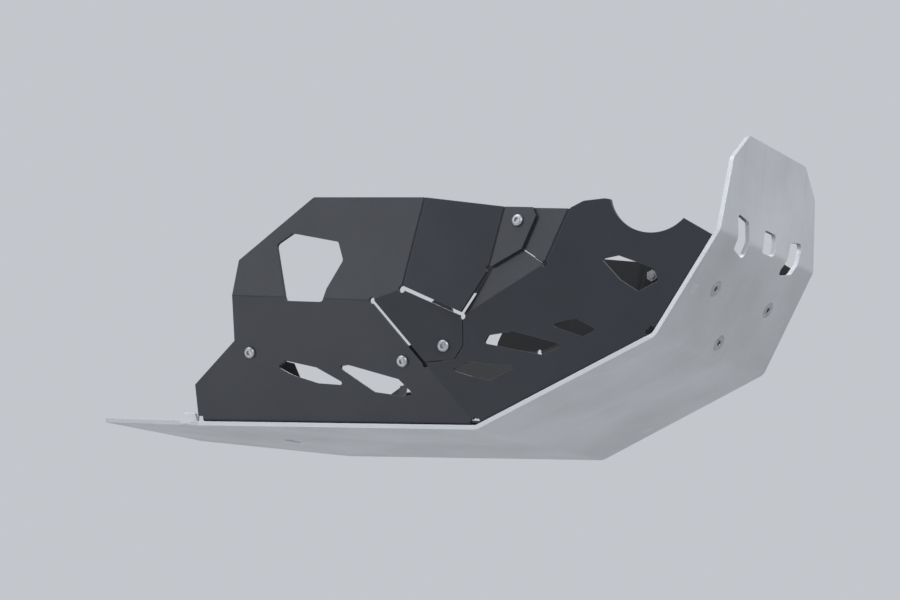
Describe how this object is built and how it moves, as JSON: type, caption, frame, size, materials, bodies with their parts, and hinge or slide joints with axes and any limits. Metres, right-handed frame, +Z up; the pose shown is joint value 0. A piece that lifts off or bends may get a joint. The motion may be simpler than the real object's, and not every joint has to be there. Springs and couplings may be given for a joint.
{
  "type": "engine guard",
  "caption": "Folded sheet-metal engine guard for a motorbike: a silver skid plate swept up at the front, with black folded side panels that have cut vents, slits and windows.",
  "frame": {"origin": "middle of the flat belly's underside", "axes": "+X forward, towards the raised front; +Y to the rider's left; +Z up"},
  "size_m": [0.6612, 0.3306, 0.2646],
  "materials": {
    "plate_aluminium": "bare sheet, satin with a fine rolled grain",
    "panel_coat": "black powder coat on aluminium, satin with a fine texture",
    "bracket_coat": "black powder coat, satin",
    "fastener_steel": "plain stainless steel",
    "sleeve_steel": "zinc-plated steel, satin",
    "bush_rubber": "matt black rubber"
  },
  "bodies": {
    "root": {"base_plate": "plate_aluminium", "right_side_panel": "panel_coat", "left_side_panel": "panel_coat", "right_corner_strap": "bracket_coat", "left_corner_strap": "bracket_coat", "right_rear_bracket": "bracket_coat", "left_rear_bracket": "bracket_coat", "front_bracket": "bracket_coat", "tab_screws": "fastener_steel", "tab_nuts": "fastener_steel", "strap_screws": "fastener_steel", "strap_nuts": "fastener_steel", "rear_bracket_screws": "fastener_steel", "rear_bracket_nuts": "fastener_steel", "belly_studs": "fastener_steel", "ramp_studs": "fastener_steel", "belly_washers": "fastener_steel", "ramp_washers": "fastener_steel", "belly_nuts": "fastener_steel", "ramp_nuts": "fastener_steel", "front_screws": "fastener_steel", "front_washers": "fastener_steel", "front_nuts": "fastener_steel", "front_sleeves": "sleeve_steel", "rear_sleeves": "sleeve_steel", "front_bushes": "bush_rubber", "rear_bushes": "bush_rubber"}
  },
  "joints": []
}
